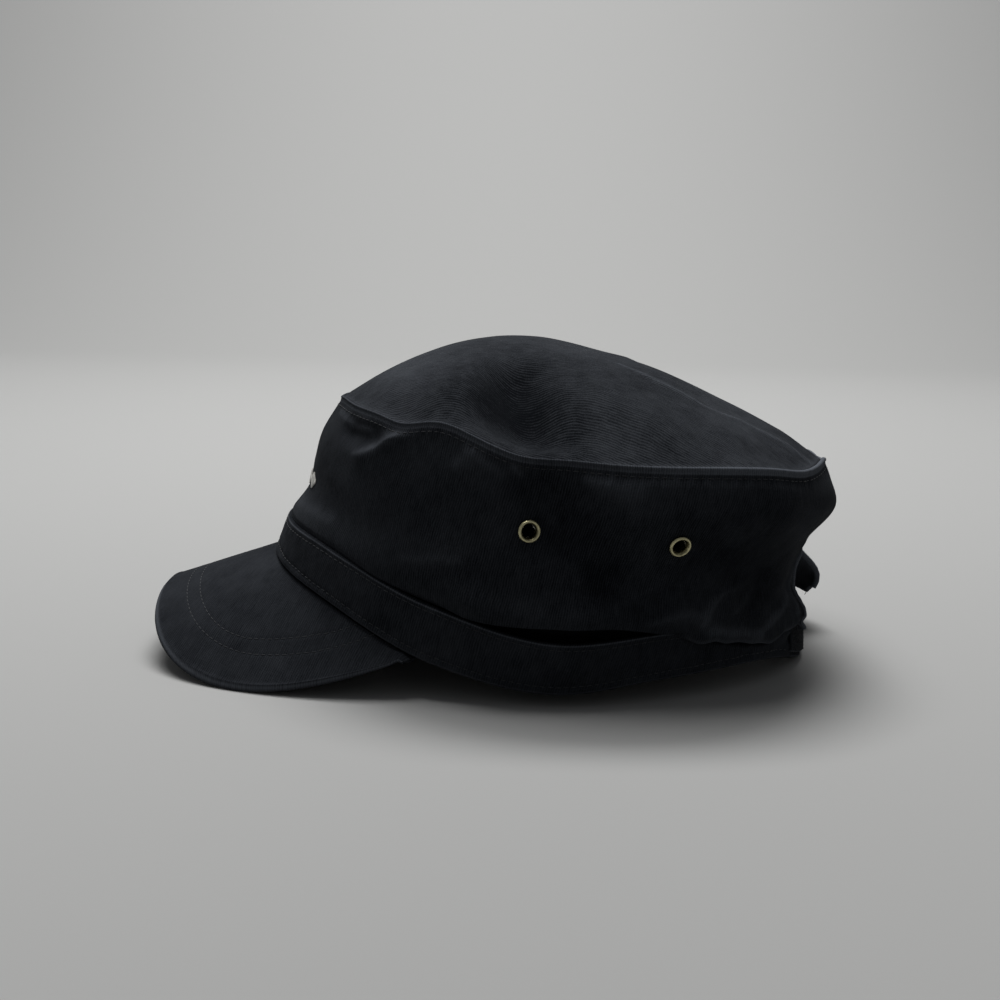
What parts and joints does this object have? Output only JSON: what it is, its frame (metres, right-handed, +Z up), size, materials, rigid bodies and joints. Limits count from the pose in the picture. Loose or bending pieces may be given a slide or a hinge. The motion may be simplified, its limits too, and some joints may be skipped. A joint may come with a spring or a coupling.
{
  "type": "cadet cap",
  "caption": "Soft washed cotton cadet cap with a short curved peak, headband, folded crown, side eyelets and an arched opening with a strap at the back.",
  "frame": {"origin": "middle of the cap's box, level with the surface that it rests on", "axes": "+Z up, -Y towards the tip of the peak, +X to the wearer's left"},
  "size_m": [0.1756, 0.2706, 0.1234],
  "materials": {
    "twill": "washed near-black cotton twill, matt",
    "loop_tape": "black hook-and-loop tape, rough pile",
    "brass": "antique brass, worn satin"
  },
  "bodies": {
    "root": {"side_wall": "twill", "top_panel": "twill", "headband": "twill", "peak": "twill", "back_strap": "twill", "loop_patch": "loop_tape", "arch_binding": "twill", "eyelet_left_front": "brass", "eyelet_right_front": "brass", "eyelet_left_rear": "brass", "eyelet_right_rear": "brass"}
  },
  "joints": []
}
